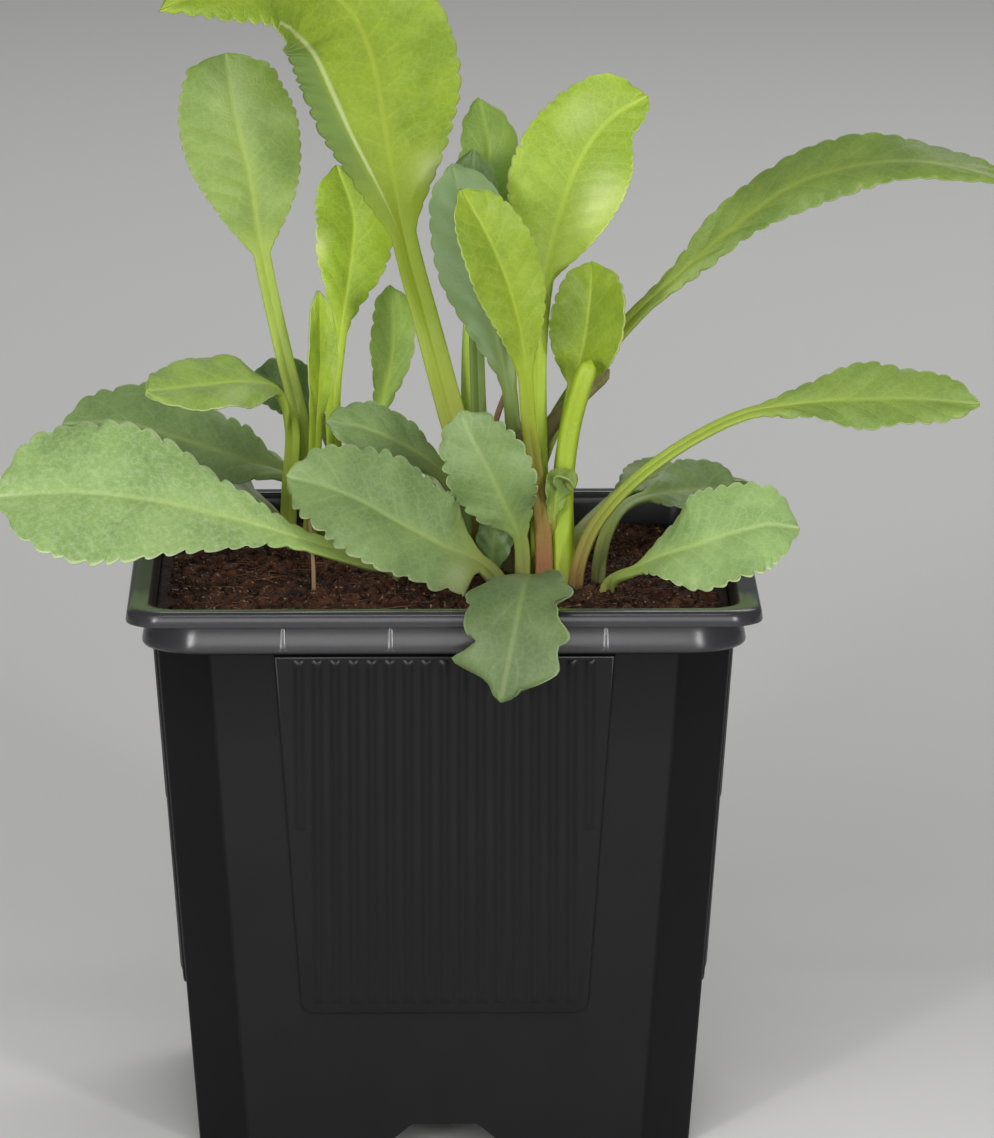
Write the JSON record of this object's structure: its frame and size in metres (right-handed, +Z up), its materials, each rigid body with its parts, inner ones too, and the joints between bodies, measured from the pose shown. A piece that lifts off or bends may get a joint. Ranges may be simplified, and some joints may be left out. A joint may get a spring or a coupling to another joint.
{
  "type": "potted oxeye daisy",
  "caption": "Young oxeye daisy in leaf, with long-stalked spoon-shaped crenate leaves, growing in a square black ribbed nursery pot filled with coir and peat.",
  "frame": {"origin": "centre of the pot's standing pad, on the ground it stands on", "axes": "+Z up, +X to the right and -Y to the front of the pot as in the picture, square to the pot's walls"},
  "size_m": [0.1486, 0.1106, 0.1762],
  "materials": {
    "pot": "satin black moulded plastic",
    "soil": "loose and fibrous",
    "leaf_bright": "smooth, slightly glossy",
    "leaf_mid": "smooth, slightly glossy",
    "leaf_grey": "matt, finely pitted",
    "leaf_shaded": "matt",
    "stalk_reddish": "smooth"
  },
  "bodies": {
    "root": {"pot": "pot", "soil": "soil", "leaf_tall_left": "leaf_mid", "leaf_top_arching": "leaf_bright", "leaf_mid_left": "leaf_bright", "leaf_small_upright": "leaf_bright", "leaf_narrow_upright": "leaf_mid", "leaf_level_left": "leaf_bright", "leaf_low_left": "leaf_grey", "leaf_shaded_left": "leaf_shaded", "leaf_front_left": "leaf_grey", "leaf_spread_front": "leaf_grey", "leaf_spread_middle": "leaf_grey", "leaf_front_middle": "leaf_grey", "leaf_over_lip": "leaf_grey", "leaf_bright_middle": "leaf_bright", "leaf_grey_middle": "leaf_grey", "leaf_dark_tip": "leaf_shaded", "leaf_upper_small": "leaf_mid", "leaf_upper_right": "leaf_bright", "leaf_curled": "leaf_bright", "leaf_long_right": "leaf_grey", "leaf_level_right": "leaf_mid", "leaf_low_right_back": "leaf_grey", "leaf_low_right_front": "leaf_grey", "leaf_crown_dark": "leaf_shaded", "leaf_crown_low": "leaf_mid", "leaf_back_middle": "leaf_mid", "leaf_back_right": "leaf_mid", "leaf_back_left": "leaf_grey", "stalk_front": "leaf_bright", "stalk_back": "stalk_reddish"}
  },
  "joints": []
}
